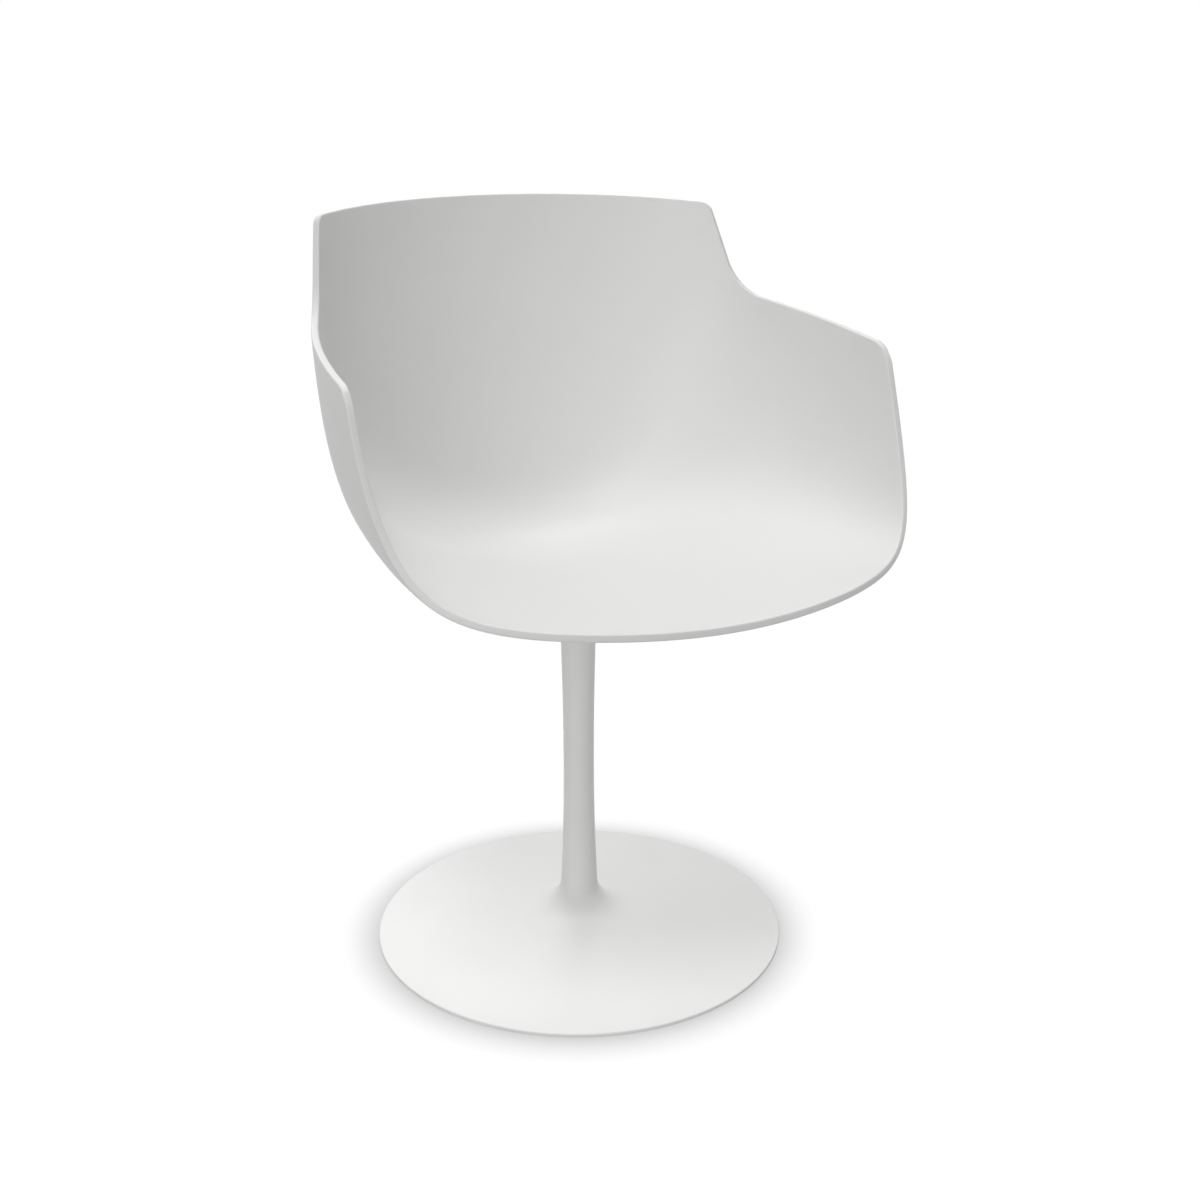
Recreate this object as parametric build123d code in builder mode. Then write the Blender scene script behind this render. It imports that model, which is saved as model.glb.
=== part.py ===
"""Pedestal armchair: a moulded bucket shell that swivels on a waisted stem with a round base.

Millimetres. The origin is on the floor, on the stem's axis. +Z is up, and the sitter faces -Y.
"""
from build123d import *
import os
from math import atan, cos, radians, sin, sqrt, tan

# Fits between pieces
RUNNING_CLEARANCE = 0.05    # spindle in its bushes, on the radius
SLIP_CLEARANCE = 0.05       # spigots, pins, the pad and threads in their holes, on the radius
SCREW_CLEARANCE = 0.3       # screw shanks in plain holes, on the radius
END_PLAY = 0.3              # between the lower bush and the washer under it

# Seat shell: the side view along its middle
SEAT_HEIGHT = 410.0         # seat surface above the floor, on the stem's axis
SEAT_TILT = 5.2             # degrees that the seat falls towards the back
SEAT_REACH_FRONT = 303.0    # front edge ahead of the stem's axis
SEAT_REACH_REAR = 151.5     # where the seat line meets the back line
BEND_RADIUS = 88.0          # bend from the seat to the back
BACK_HEIGHT = 350.0         # middle of the back's top edge above the seat
BACK_RECLINE = 7.4          # degrees

# Seat shell: the side view along the edge of the arm and the back
ARM_REACH = 131.0           # arm's front corner ahead of the stem's axis
ARM_HEIGHT = 219.5          # arm's front corner above the seat
NOTCH_REACH = 86.0          # notch between arm and back, behind the stem's axis
NOTCH_HEIGHT = 251.0        # above the seat
NOTCH_RADIUS = 58.5
BACK_CORNER_FORWARD = 77.5  # back's top corner ahead of the middle of the top edge
BACK_CORNER_DROP = 10.0     # back's top corner below the middle of the top edge

# Seat shell: the plan of that edge is part of an ellipse
PLAN_HALF_WIDTH = 265.7
PLAN_DEPTH = 427.5
PLAN_CENTRE = 135.0         # centre of the ellipse ahead of the stem's axis

# Seat shell: how each rib runs from the middle up to the edge
LOWER_SWEEP_DOWN = 47.0     # pulls the lower third of the rib
UPPER_SWEEP_FORWARD = 11.0  # pulls the upper third of the rib
UPPER_SWEEP_DOWN = 132.0
SWEEP_END = 1.0             # share of the way to the top edge where the pull has faded out
WRAP_START = 0.28           # share of the way where the ribs begin to open
BACK_WRAP = 55.4            # degrees that the top edge turns on each side
RIBS = 33                   # ribs from the front edge to the top edge
RIB_POINTS = 33             # points along each rib
SURFACE_TOLERANCE = 0.05
SHELL_WALL = 7.0
ARM_CORNER_RADIUS = 28.0
BACK_CORNER_RADIUS = 13.0
RIM_ROUND = 1.5
RIM_ROUND_LIMIT = 0.4       # largest rim round, as a share of the wall

# Fastening of the shell
BOSS_SPACING = 124.0        # square pattern
BOSS_WALL = 4.5             # round the insert
BOSS_CAP = 4.0              # boss beyond the insert's hole, on the stem's axis
INSERT_WALL = 1.5           # round the screw
INSERT_LENGTH = 10.0
INSERT_HOLE_SPARE = 1.0     # hole deeper than the insert
SHELL_SCREW_RADIUS = 3.0
SHELL_SCREW_TIP_SPARE = 2.0  # screw's tip short of the insert's end
SHELL_SCREW_HEAD_LEDGE = 2.2  # head beyond the shank
SHELL_SCREW_HEAD_HEIGHT = 3.4
SHELL_SCREW_SOCKET_WIDTH = 4.0
SHELL_SCREW_SOCKET_DEPTH = 2.0
SHELL_WASHER_LEDGE = 1.2    # washer beyond the head
SHELL_WASHER_THICK = 1.6
PLATE_MARGIN = 17.0         # plate beyond the screw holes
PLATE_THICK = 5.0
PLATE_CORNER_RADIUS = 18.0
PLATE_CHAMFER = 0.8

# Swivel
SPINDLE_RADIUS = 10.0
SPINDLE_LENGTH = 118.0      # below its flange
SPINDLE_CHAMFER = 1.2
FLANGE_OVERHANG = 6.7       # spindle's flange beyond the stem's top
FLANGE_THICK = 8.0
FLANGE_CHAMFER = 1.0
BUSH_WALL = 2.95
BUSH_FLANGE_INSET = 1.3     # bush's flange inside the stem's top
BUSH_FLANGE_THICK = 2.5
UPPER_BUSH_LENGTH = 30.0
LOWER_BUSH_LENGTH = 24.0
BORE_SHOULDER = 1.0         # step in the stem's bore that stops each bush
THRUST_INSET = 0.5          # thrust washer inside the bush's flange
THRUST_THICK = 1.5
RETAINING_WASHER_GAP = 0.65  # washer's edge inside the stem's bore
RETAINING_WASHER_THICK = 1.5
RING_PROUD = 2.2            # retaining ring beyond the spindle
RING_THICK = 1.2
RING_GROOVE_DEPTH = 1.0
RING_MOUTH = 6.0            # width of the gap in the retaining ring

# Stem
STEM_FOOT_WALL = 6.35
STEM_WAIST_WALL = 2.85
STEM_TOP_WALL = 6.25
STEM_WAIST_HEIGHT = 194.0   # above the floor
STEM_EDGE_ROUND = 0.8
PLUG_LENGTH = 24.0
PIN_RADIUS = 1.5
PIN_LENGTH = 16.0
PIN_HOLE_SPARE = 0.5

# Base
BASE_RADIUS = 216.0
BASE_RISE = 27.6            # from the rim's top to where the cone would meet the stem
BASE_WALL = 4.5
BASE_EDGE_ROUND = 1.2
HUB_FLARE_HEIGHT = 23.4     # flare above where the cone would meet the stem
HUB_FLARE_REACH = 40.0      # flare's foot beyond the stem
HUB_FOOT_RADIUS = 30.0      # solid middle under the disc
SPIGOT_LENGTH = 18.0
PAD_POCKET = 2.0            # how deep the floor pad sits in the base
PAD_STAND = 1.0             # how far the floor pad stands below the rim
PAD_CHAMFER = 0.5
POCKET_ROOF = 2.0           # rim's edge above the pocket
POCKET_LIP = 8.0            # rim round the pad
POCKET_STEP = 1.7           # from the pad's seat up to the hollow under the cone
BOLT_RADIUS = 6.0
BOLT_HEAD_LEDGE = 3.0       # head beyond the shank
BOLT_HEAD_HEIGHT = 12.0
BOLT_HEAD_COVER = 1.5       # head above the floor pad
BOLT_SOCKET_WIDTH = 10.0
BOLT_SOCKET_DEPTH = 6.0
BOLT_BORE_CLEARANCE = 1.0   # counterbore round the washer
BOLT_TIP_SPARE = 6.0        # bolt's tip short of the plug's end
BOLT_WASHER_LEDGE = 3.0     # washer beyond the head
BOLT_WASHER_THICK = 2.5
BALLAST_INNER_GAP = 6.0     # between the hub and the ballast
BALLAST_THICK = 8.0
BALLAST_TOP_GAP = 0.8       # ballast's outer edge below the cone
BALLAST_STAND = 1.0         # ballast's underside above the floor pad
BALLAST_CHAMFER = 1.0
BALLAST_SCREWS = 4
BALLAST_SCREW_RADIUS = 2.5
BALLAST_SCREW_HEAD_LEDGE = 2.5  # countersunk head beyond the shank
BALLAST_HOLE_SPARE = 0.5    # hole deeper than the screw
BALLAST_BOSS_WALL = 5.5     # round the screw
BALLAST_SOCKET_WIDTH = 3.0
BALLAST_SOCKET_DEPTH = 1.5

# Radii worked out from the sizes above
INSERT_RADIUS = SHELL_SCREW_RADIUS + SLIP_CLEARANCE + INSERT_WALL
BOSS_RADIUS = INSERT_RADIUS + BOSS_WALL
SHELL_SCREW_HEAD_RADIUS = SHELL_SCREW_RADIUS + SHELL_SCREW_HEAD_LEDGE
SHELL_WASHER_RADIUS = SHELL_SCREW_HEAD_RADIUS + SHELL_WASHER_LEDGE
PLATE_SIDE = BOSS_SPACING + 2 * PLATE_MARGIN
SPINDLE_BORE = SPINDLE_RADIUS + RUNNING_CLEARANCE
BUSH_RADIUS = SPINDLE_BORE + BUSH_WALL
STEM_BORE = BUSH_RADIUS + SLIP_CLEARANCE
STEM_SHOULDER = STEM_BORE - BORE_SHOULDER
STEM_FOOT_RADIUS = STEM_BORE + STEM_FOOT_WALL
STEM_WAIST_RADIUS = STEM_BORE + STEM_WAIST_WALL
STEM_TOP_RADIUS = STEM_BORE + STEM_TOP_WALL
FLANGE_RADIUS = STEM_TOP_RADIUS + FLANGE_OVERHANG
BUSH_FLANGE_RADIUS = STEM_TOP_RADIUS - BUSH_FLANGE_INSET
THRUST_RADIUS = BUSH_FLANGE_RADIUS - THRUST_INSET
RETAINING_WASHER_RADIUS = STEM_BORE - RETAINING_WASHER_GAP
RING_RADIUS = SPINDLE_RADIUS + RING_PROUD
GROOVE_RADIUS = SPINDLE_RADIUS - RING_GROOVE_DEPTH
PIN_CIRCLE = (STEM_BORE + STEM_FOOT_RADIUS) / 2
POCKET_RADIUS = BASE_RADIUS - POCKET_LIP
BOLT_HEAD_RADIUS = BOLT_RADIUS + BOLT_HEAD_LEDGE
BOLT_WASHER_RADIUS = BOLT_HEAD_RADIUS + BOLT_WASHER_LEDGE
BALLAST_INNER = HUB_FOOT_RADIUS + BALLAST_INNER_GAP
BALLAST_SCREW_HEAD_RADIUS = BALLAST_SCREW_RADIUS + BALLAST_SCREW_HEAD_LEDGE

# Heights worked out from the sizes above
BOSS_LENGTH = INSERT_LENGTH + INSERT_HOLE_SPARE + BOSS_CAP
PLATE_TOP = SEAT_HEIGHT - SHELL_WALL - BOSS_LENGTH
PLATE_BOTTOM = PLATE_TOP - PLATE_THICK
SHELL_SCREW_HEAD_TOP = PLATE_BOTTOM - SHELL_WASHER_THICK
SHELL_SCREW_HEAD_BOTTOM = SHELL_SCREW_HEAD_TOP - SHELL_SCREW_HEAD_HEIGHT
SHELL_SCREW_TIP = PLATE_TOP + INSERT_LENGTH - SHELL_SCREW_TIP_SPARE
FLANGE_BOTTOM = PLATE_BOTTOM - FLANGE_THICK
BUSH_FLANGE_TOP = FLANGE_BOTTOM - THRUST_THICK
STEM_TOP = BUSH_FLANGE_TOP - BUSH_FLANGE_THICK
UPPER_BUSH_BOTTOM = STEM_TOP - UPPER_BUSH_LENGTH
SPINDLE_END = FLANGE_BOTTOM - SPINDLE_LENGTH
GROOVE_BOTTOM = SPINDLE_END + 2 * SPINDLE_CHAMFER
GROOVE_TOP = GROOVE_BOTTOM + RING_THICK
LOWER_BUSH_BOTTOM = GROOVE_TOP + RETAINING_WASHER_THICK + END_PLAY
LOWER_BUSH_TOP = LOWER_BUSH_BOTTOM + LOWER_BUSH_LENGTH
RIM_BOTTOM = PAD_STAND
PAD_TOP = RIM_BOTTOM + PAD_POCKET
RIM_TOP = PAD_TOP + POCKET_ROOF
CONE_TOP = RIM_TOP + BASE_RISE
HUB_TOP = CONE_TOP + HUB_FLARE_HEIGHT
SPIGOT_TOP = HUB_TOP + SPIGOT_LENGTH
PLUG_BOTTOM = SPIGOT_TOP + SLIP_CLEARANCE
BOLT_HEAD_BOTTOM = PAD_TOP + BOLT_HEAD_COVER
BOLT_HEAD_TOP = BOLT_HEAD_BOTTOM + BOLT_HEAD_HEIGHT
BOLT_SEAT = BOLT_HEAD_TOP + BOLT_WASHER_THICK
BOLT_TIP = PLUG_BOTTOM + PLUG_LENGTH - BOLT_TIP_SPARE
BALLAST_BOTTOM = PAD_TOP + BALLAST_STAND
BALLAST_TOP = BALLAST_BOTTOM + BALLAST_THICK

os.makedirs("parts", exist_ok=True)


def finish(builder, name):
    """Label a finished piece and write it to its own file."""
    builder.part.label = name
    export_step(builder.part, f"parts/{name}.step")


def ease(share):
    """Smooth step from 0 to 1, flat at both ends."""
    held = min(max(share, 0.0), 1.0)
    return held * held * (3 - 2 * held)


# The two guide lines of the shell, drawn flat: the first number is Y and the second is Z
seat_fall = tan(radians(SEAT_TILT))
front_edge = (-SEAT_REACH_FRONT, SEAT_HEIGHT + SEAT_REACH_FRONT * seat_fall)
seat_corner = (SEAT_REACH_REAR, SEAT_HEIGHT - SEAT_REACH_REAR * seat_fall)
back_top_height = SEAT_HEIGHT + BACK_HEIGHT
back_top_reach = SEAT_REACH_REAR + (back_top_height - seat_corner[1]) * tan(radians(BACK_RECLINE))
arm_corner = (-ARM_REACH, SEAT_HEIGHT + ARM_HEIGHT)
notch = (NOTCH_REACH, SEAT_HEIGHT + NOTCH_HEIGHT)
back_corner = (back_top_reach - BACK_CORNER_FORWARD, back_top_height - BACK_CORNER_DROP)

with BuildLine() as middle_line:
    FilletPolyline(front_edge, seat_corner, (back_top_reach, back_top_height), radius=BEND_RADIUS)
with BuildLine() as edge_line:
    FilletPolyline(arm_corner, notch, back_corner, radius=NOTCH_RADIUS)

middle_wire = middle_line.wire()
edge_wire = edge_line.wire()
lower_sweep = Vector(0, -LOWER_SWEEP_DOWN)
upper_sweep = Vector(-UPPER_SWEEP_FORWARD, -UPPER_SWEEP_DOWN)


def shell_rib(along):
    """Points across the sitter's side, from edge to edge, at a share of the way to the top edge."""
    foot = middle_wire @ along
    edge = edge_wire @ along
    half_width = PLAN_HALF_WIDTH * sqrt(1 - ((edge.X + PLAN_CENTRE) / PLAN_DEPTH) ** 2)
    opening = ease((along - WRAP_START) / (1 - WRAP_START))
    full_turn = radians(90 - (90 - BACK_WRAP) * opening)
    pull = 1 - ease(along / SWEEP_END)
    lower = foot + (edge - foot) / 3 + lower_sweep * pull
    upper = foot + (edge - foot) * 2 / 3 + upper_sweep * pull
    points = []
    for step in range(RIB_POINTS):
        turn = full_turn * (2 * step / (RIB_POINTS - 1) - 1)
        rise = (1 - cos(turn)) / (1 - cos(full_turn))
        left = 1 - rise
        side = foot * left**3 + lower * (3 * rise * left**2) + upper * (3 * rise**2 * left) + edge * rise**3
        points.append(Vector(half_width * sin(turn) / sin(full_turn), side.X, side.Y))
    return points


sitter_face = Face.make_surface_from_array_of_points(
    [shell_rib(rib / (RIBS - 1)) for rib in range(RIBS)], tol=SURFACE_TOLERANCE, min_deg=3, max_deg=3
)
boss_places = [spot.position for spot in GridLocations(BOSS_SPACING, BOSS_SPACING, 2, 2).locations]


def seat_height_at(place):
    """Height of the sitter's side above a place on the floor."""
    return sitter_face.find_intersection_points(Axis(place, (0, 0, 1)))[0][0].Z


# Seat shell: one moulding, with rounded corners and rim, and four bosses under the seat
with BuildPart() as seat_shell:
    thicken(sitter_face, amount=SHELL_WALL)
    corners = seat_shell.edges().filter_by(lambda edge: edge.length < 2 * SHELL_WALL).sort_by(Axis.Z)
    fillet(corners[2:], radius=BACK_CORNER_RADIUS)
    corners = seat_shell.edges().filter_by(lambda edge: edge.length < 2 * SHELL_WALL).sort_by(Axis.Z)
    fillet(corners[:2], radius=ARM_CORNER_RADIUS)
    wall_edges = seat_shell.edges().filter_by(lambda edge: abs(edge.length - SHELL_WALL) < SURFACE_TOLERANCE)
    fillet(seat_shell.edges() - wall_edges, radius=min(RIM_ROUND, RIM_ROUND_LIMIT * SHELL_WALL))
    for place in boss_places:
        with BuildSketch(Plane.XY.offset(PLATE_TOP)):
            with Locations(place):
                Circle(BOSS_RADIUS)
        extrude(amount=seat_height_at(place) - SHELL_WALL / 2 - PLATE_TOP)
    with BuildSketch(Plane.XY.offset(PLATE_TOP)):
        with Locations(*boss_places):
            Circle(INSERT_RADIUS + SLIP_CLEARANCE)
    extrude(amount=INSERT_LENGTH + INSERT_HOLE_SPARE, mode=Mode.SUBTRACT)
finish(seat_shell, "seat_shell")

# Threaded inserts, flush with the bosses
with BuildPart() as shell_inserts:
    with BuildSketch(Plane.XY.offset(PLATE_TOP)):
        with Locations(*boss_places):
            Circle(INSERT_RADIUS)
            Circle(SHELL_SCREW_RADIUS + SLIP_CLEARANCE, mode=Mode.SUBTRACT)
    extrude(amount=INSERT_LENGTH)
finish(shell_inserts, "shell_inserts")

# Mounting plate under the seat
with BuildPart() as seat_plate:
    with BuildSketch(Plane.XY.offset(PLATE_BOTTOM)):
        RectangleRounded(PLATE_SIDE, PLATE_SIDE, PLATE_CORNER_RADIUS)
    extrude(amount=PLATE_THICK)
    rims = seat_plate.edges().group_by(Axis.Z)
    chamfer(rims[0] + rims[-1], length=PLATE_CHAMFER)
    with BuildSketch(Plane.XY.offset(PLATE_BOTTOM)):
        Circle(SPINDLE_RADIUS + SLIP_CLEARANCE)
        with Locations(*boss_places):
            Circle(SHELL_SCREW_RADIUS + SCREW_CLEARANCE)
    extrude(amount=PLATE_THICK, mode=Mode.SUBTRACT)
finish(seat_plate, "seat_plate")

# Washers and button-head screws that hold the shell to the plate
with BuildPart() as shell_washers:
    with BuildSketch(Plane.XY.offset(SHELL_SCREW_HEAD_TOP)):
        with Locations(*boss_places):
            Circle(SHELL_WASHER_RADIUS)
            Circle(SHELL_SCREW_RADIUS + SCREW_CLEARANCE, mode=Mode.SUBTRACT)
    extrude(amount=SHELL_WASHER_THICK)
finish(shell_washers, "shell_washers")

with BuildPart() as shell_screws:
    with BuildSketch(Plane.XY.offset(SHELL_SCREW_HEAD_BOTTOM)):
        with Locations(*boss_places):
            Circle(SHELL_SCREW_HEAD_RADIUS)
    extrude(amount=SHELL_SCREW_HEAD_HEIGHT)
    fillet(shell_screws.edges().group_by(Axis.Z)[0], radius=SHELL_SCREW_HEAD_HEIGHT / 2)
    with BuildSketch(Plane.XY.offset(SHELL_SCREW_HEAD_TOP)):
        with Locations(*boss_places):
            Circle(SHELL_SCREW_RADIUS)
    extrude(amount=SHELL_SCREW_TIP - SHELL_SCREW_HEAD_TOP)
    with BuildSketch(Plane.XY.offset(SHELL_SCREW_HEAD_BOTTOM)):
        with Locations(*boss_places):
            RegularPolygon(SHELL_SCREW_SOCKET_WIDTH / 2, 6, major_radius=False)
    extrude(amount=SHELL_SCREW_SOCKET_DEPTH, mode=Mode.SUBTRACT)
finish(shell_screws, "shell_screws")

# Swivel spindle: a flange under the plate, and a shaft with a groove near its end
with BuildPart() as spindle:
    with BuildSketch(Plane.XZ):
        with BuildLine():
            Polyline(
                (0, PLATE_TOP),
                (SPINDLE_RADIUS, PLATE_TOP),
                (SPINDLE_RADIUS, PLATE_BOTTOM),
                (FLANGE_RADIUS, PLATE_BOTTOM),
                (FLANGE_RADIUS, FLANGE_BOTTOM + FLANGE_CHAMFER),
                (FLANGE_RADIUS - FLANGE_CHAMFER, FLANGE_BOTTOM),
                (SPINDLE_RADIUS, FLANGE_BOTTOM),
                (SPINDLE_RADIUS, GROOVE_TOP),
                (GROOVE_RADIUS, GROOVE_TOP),
                (GROOVE_RADIUS, GROOVE_BOTTOM),
                (SPINDLE_RADIUS, GROOVE_BOTTOM),
                (SPINDLE_RADIUS, SPINDLE_END + SPINDLE_CHAMFER),
                (SPINDLE_RADIUS - SPINDLE_CHAMFER, SPINDLE_END),
                (0, SPINDLE_END),
                close=True,
            )
        make_face()
    revolve(axis=Axis.Z)
finish(spindle, "spindle")

# Thrust washer between the spindle's flange and the upper bush
with BuildPart() as thrust_washer:
    with BuildSketch(Plane.XY.offset(BUSH_FLANGE_TOP)):
        Circle(THRUST_RADIUS)
        Circle(SPINDLE_BORE, mode=Mode.SUBTRACT)
    extrude(amount=THRUST_THICK)
finish(thrust_washer, "thrust_washer")

# Flanged bush in the stem's top
with BuildPart() as upper_bush:
    with BuildSketch(Plane.XY.offset(STEM_TOP)):
        Circle(BUSH_FLANGE_RADIUS)
    extrude(amount=BUSH_FLANGE_THICK)
    with BuildSketch(Plane.XY.offset(UPPER_BUSH_BOTTOM)):
        Circle(BUSH_RADIUS)
    extrude(amount=UPPER_BUSH_LENGTH)
    with BuildSketch(Plane.XY.offset(UPPER_BUSH_BOTTOM)):
        Circle(SPINDLE_BORE)
    extrude(amount=UPPER_BUSH_LENGTH + BUSH_FLANGE_THICK, mode=Mode.SUBTRACT)
finish(upper_bush, "upper_bush")

# Plain bush lower in the stem
with BuildPart() as lower_bush:
    with BuildSketch(Plane.XY.offset(LOWER_BUSH_BOTTOM)):
        Circle(BUSH_RADIUS)
        Circle(SPINDLE_BORE, mode=Mode.SUBTRACT)
    extrude(amount=LOWER_BUSH_LENGTH)
finish(lower_bush, "lower_bush")

# Washer and ring that stop the spindle from lifting out
with BuildPart() as retaining_washer:
    with BuildSketch(Plane.XY.offset(GROOVE_TOP)):
        Circle(RETAINING_WASHER_RADIUS)
        Circle(SPINDLE_BORE, mode=Mode.SUBTRACT)
    extrude(amount=RETAINING_WASHER_THICK)
finish(retaining_washer, "retaining_washer")

with BuildPart() as retaining_ring:
    with BuildSketch(Plane.XY.offset(GROOVE_BOTTOM)):
        Circle(RING_RADIUS)
        Circle(GROOVE_RADIUS + SLIP_CLEARANCE, mode=Mode.SUBTRACT)
        with Locations((0, -RING_RADIUS)):
            Rectangle(RING_MOUTH, RING_RADIUS, mode=Mode.SUBTRACT)
    extrude(amount=RING_THICK)
finish(retaining_ring, "retaining_ring")

# Stem: a waisted tube, with a shoulder in its bore between the two bushes
with BuildPart() as stem:
    with BuildSketch(Plane.XZ):
        with BuildLine():
            Bezier(
                (STEM_FOOT_RADIUS, HUB_TOP),
                (STEM_WAIST_RADIUS, (HUB_TOP + STEM_WAIST_HEIGHT) / 2),
                (STEM_WAIST_RADIUS, STEM_WAIST_HEIGHT),
            )
            Bezier(
                (STEM_WAIST_RADIUS, STEM_WAIST_HEIGHT),
                (STEM_WAIST_RADIUS, (STEM_WAIST_HEIGHT + STEM_TOP) / 2),
                (STEM_TOP_RADIUS, STEM_TOP),
            )
            Polyline(
                (STEM_TOP_RADIUS, STEM_TOP),
                (STEM_BORE, STEM_TOP),
                (STEM_BORE, UPPER_BUSH_BOTTOM),
                (STEM_SHOULDER, UPPER_BUSH_BOTTOM),
                (STEM_SHOULDER, LOWER_BUSH_TOP),
                (STEM_BORE, LOWER_BUSH_TOP),
                (STEM_BORE, HUB_TOP),
                (STEM_FOOT_RADIUS, HUB_TOP),
            )
        make_face()
    revolve(axis=Axis.Z)
    top_rims = stem.edges().filter_by(GeomType.CIRCLE).group_by(Axis.Z)[-1]
    fillet(top_rims.sort_by(SortBy.RADIUS)[-1], radius=STEM_EDGE_ROUND)
    with BuildSketch(Plane.XY.offset(HUB_TOP)):
        with Locations((0, PIN_CIRCLE)):
            Circle(PIN_RADIUS + SLIP_CLEARANCE)
    extrude(amount=PIN_LENGTH / 2 + PIN_HOLE_SPARE, mode=Mode.SUBTRACT)
finish(stem, "stem")

# Threaded plug in the stem's foot
with BuildPart() as stem_plug:
    with BuildSketch(Plane.XY.offset(PLUG_BOTTOM)):
        Circle(BUSH_RADIUS)
        Circle(BOLT_RADIUS + SLIP_CLEARANCE, mode=Mode.SUBTRACT)
    extrude(amount=PLUG_LENGTH)
finish(stem_plug, "stem_plug")

# Pin that keeps the stem from turning on the hub
with BuildPart() as locating_pin:
    with BuildSketch(Plane.XY.offset(HUB_TOP - PIN_LENGTH / 2)):
        with Locations((0, PIN_CIRCLE)):
            Circle(PIN_RADIUS)
    extrude(amount=PIN_LENGTH)
finish(locating_pin, "locating_pin")

# The base's cone, and the flare that runs into it from the stem's own slope
cone_slope = atan(BASE_RISE / (BASE_RADIUS - STEM_FOOT_RADIUS))
stem_slope = 2 * (STEM_FOOT_RADIUS - STEM_WAIST_RADIUS) / (STEM_WAIST_HEIGHT - HUB_TOP)
flare_start = STEM_FOOT_RADIUS + stem_slope * HUB_FLARE_HEIGHT / (1 - stem_slope * tan(cone_slope))
flare_end = STEM_FOOT_RADIUS + HUB_FLARE_REACH


def cone_height(radius):
    """Height of the base's top side at a distance from the axis."""
    return RIM_TOP + (BASE_RADIUS - radius) * tan(cone_slope)


def cone_underside(radius):
    """Height of the base's underside at a distance from the axis."""
    return cone_height(radius) - BASE_WALL / cos(cone_slope)


def radius_under_cone(height):
    """Distance from the axis where the base's underside is at a height."""
    return BASE_RADIUS - (height - cone_underside(BASE_RADIUS)) / tan(cone_slope)


seat_inner = radius_under_cone(PAD_TOP + POCKET_STEP)
ballast_radius = radius_under_cone(BALLAST_TOP + BALLAST_TOP_GAP)
ballast_screw_circle = (BALLAST_INNER + ballast_radius) / 2
ballast_hole_top = cone_underside(ballast_screw_circle)

# Base: a shallow hollow cone with a flared hub and a spigot for the stem
with BuildPart() as base_disc:
    with BuildSketch(Plane.XZ):
        with BuildLine():
            Bezier(
                (STEM_FOOT_RADIUS, HUB_TOP),
                (flare_start, cone_height(flare_start)),
                (flare_end, cone_height(flare_end)),
            )
            Polyline(
                (flare_end, cone_height(flare_end)),
                (BASE_RADIUS, RIM_TOP),
                (BASE_RADIUS, RIM_BOTTOM),
                (POCKET_RADIUS, RIM_BOTTOM),
                (POCKET_RADIUS, PAD_TOP),
                (seat_inner, PAD_TOP),
                (seat_inner, PAD_TOP + POCKET_STEP),
                (HUB_FOOT_RADIUS, cone_underside(HUB_FOOT_RADIUS)),
                (HUB_FOOT_RADIUS, PAD_TOP),
                (0, PAD_TOP),
                (0, SPIGOT_TOP),
                (BUSH_RADIUS, SPIGOT_TOP),
                (BUSH_RADIUS, HUB_TOP),
                (STEM_FOOT_RADIUS, HUB_TOP),
            )
        make_face()
    revolve(axis=Axis.Z)
    rims = base_disc.edges().filter_by(GeomType.CIRCLE).sort_by(SortBy.RADIUS)
    fillet(rims[-2:], radius=BASE_EDGE_ROUND)
    with BuildSketch(Plane.XY.offset(BALLAST_TOP)):
        with PolarLocations(ballast_screw_circle, BALLAST_SCREWS):
            Circle(BALLAST_SCREW_RADIUS + BALLAST_BOSS_WALL)
    extrude(amount=ballast_hole_top + BASE_WALL / 2 - BALLAST_TOP)
    with BuildSketch(Plane.XY.offset(BALLAST_TOP)):
        with PolarLocations(ballast_screw_circle, BALLAST_SCREWS):
            Circle(BALLAST_SCREW_RADIUS + SLIP_CLEARANCE)
    extrude(amount=ballast_hole_top - BALLAST_TOP, mode=Mode.SUBTRACT)
    with BuildSketch(Plane.XY.offset(PAD_TOP)):
        Circle(BOLT_WASHER_RADIUS + BOLT_BORE_CLEARANCE)
    extrude(amount=BOLT_SEAT - PAD_TOP, mode=Mode.SUBTRACT)
    with BuildSketch(Plane.XY.offset(BOLT_SEAT)):
        Circle(BOLT_RADIUS + SCREW_CLEARANCE)
    extrude(amount=SPIGOT_TOP - BOLT_SEAT, mode=Mode.SUBTRACT)
    with BuildSketch(Plane.XY.offset(HUB_TOP)):
        with Locations((0, PIN_CIRCLE)):
            Circle(PIN_RADIUS + SLIP_CLEARANCE)
    extrude(amount=-(PIN_LENGTH / 2 + PIN_HOLE_SPARE), mode=Mode.SUBTRACT)
finish(base_disc, "base_disc")

# Bolt and washer that pull the stem down on the hub
with BuildPart() as base_washer:
    with BuildSketch(Plane.XY.offset(BOLT_HEAD_TOP)):
        Circle(BOLT_WASHER_RADIUS)
        Circle(BOLT_RADIUS + SCREW_CLEARANCE, mode=Mode.SUBTRACT)
    extrude(amount=BOLT_WASHER_THICK)
finish(base_washer, "base_washer")

with BuildPart() as base_bolt:
    with BuildSketch(Plane.XY.offset(BOLT_HEAD_BOTTOM)):
        Circle(BOLT_HEAD_RADIUS)
    extrude(amount=BOLT_HEAD_HEIGHT)
    with BuildSketch(Plane.XY.offset(BOLT_HEAD_TOP)):
        Circle(BOLT_RADIUS)
    extrude(amount=BOLT_TIP - BOLT_HEAD_TOP)
    with BuildSketch(Plane.XY.offset(BOLT_HEAD_BOTTOM)):
        RegularPolygon(BOLT_SOCKET_WIDTH / 2, 6, major_radius=False)
    extrude(amount=BOLT_SOCKET_DEPTH, mode=Mode.SUBTRACT)
finish(base_bolt, "base_bolt")

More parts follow.
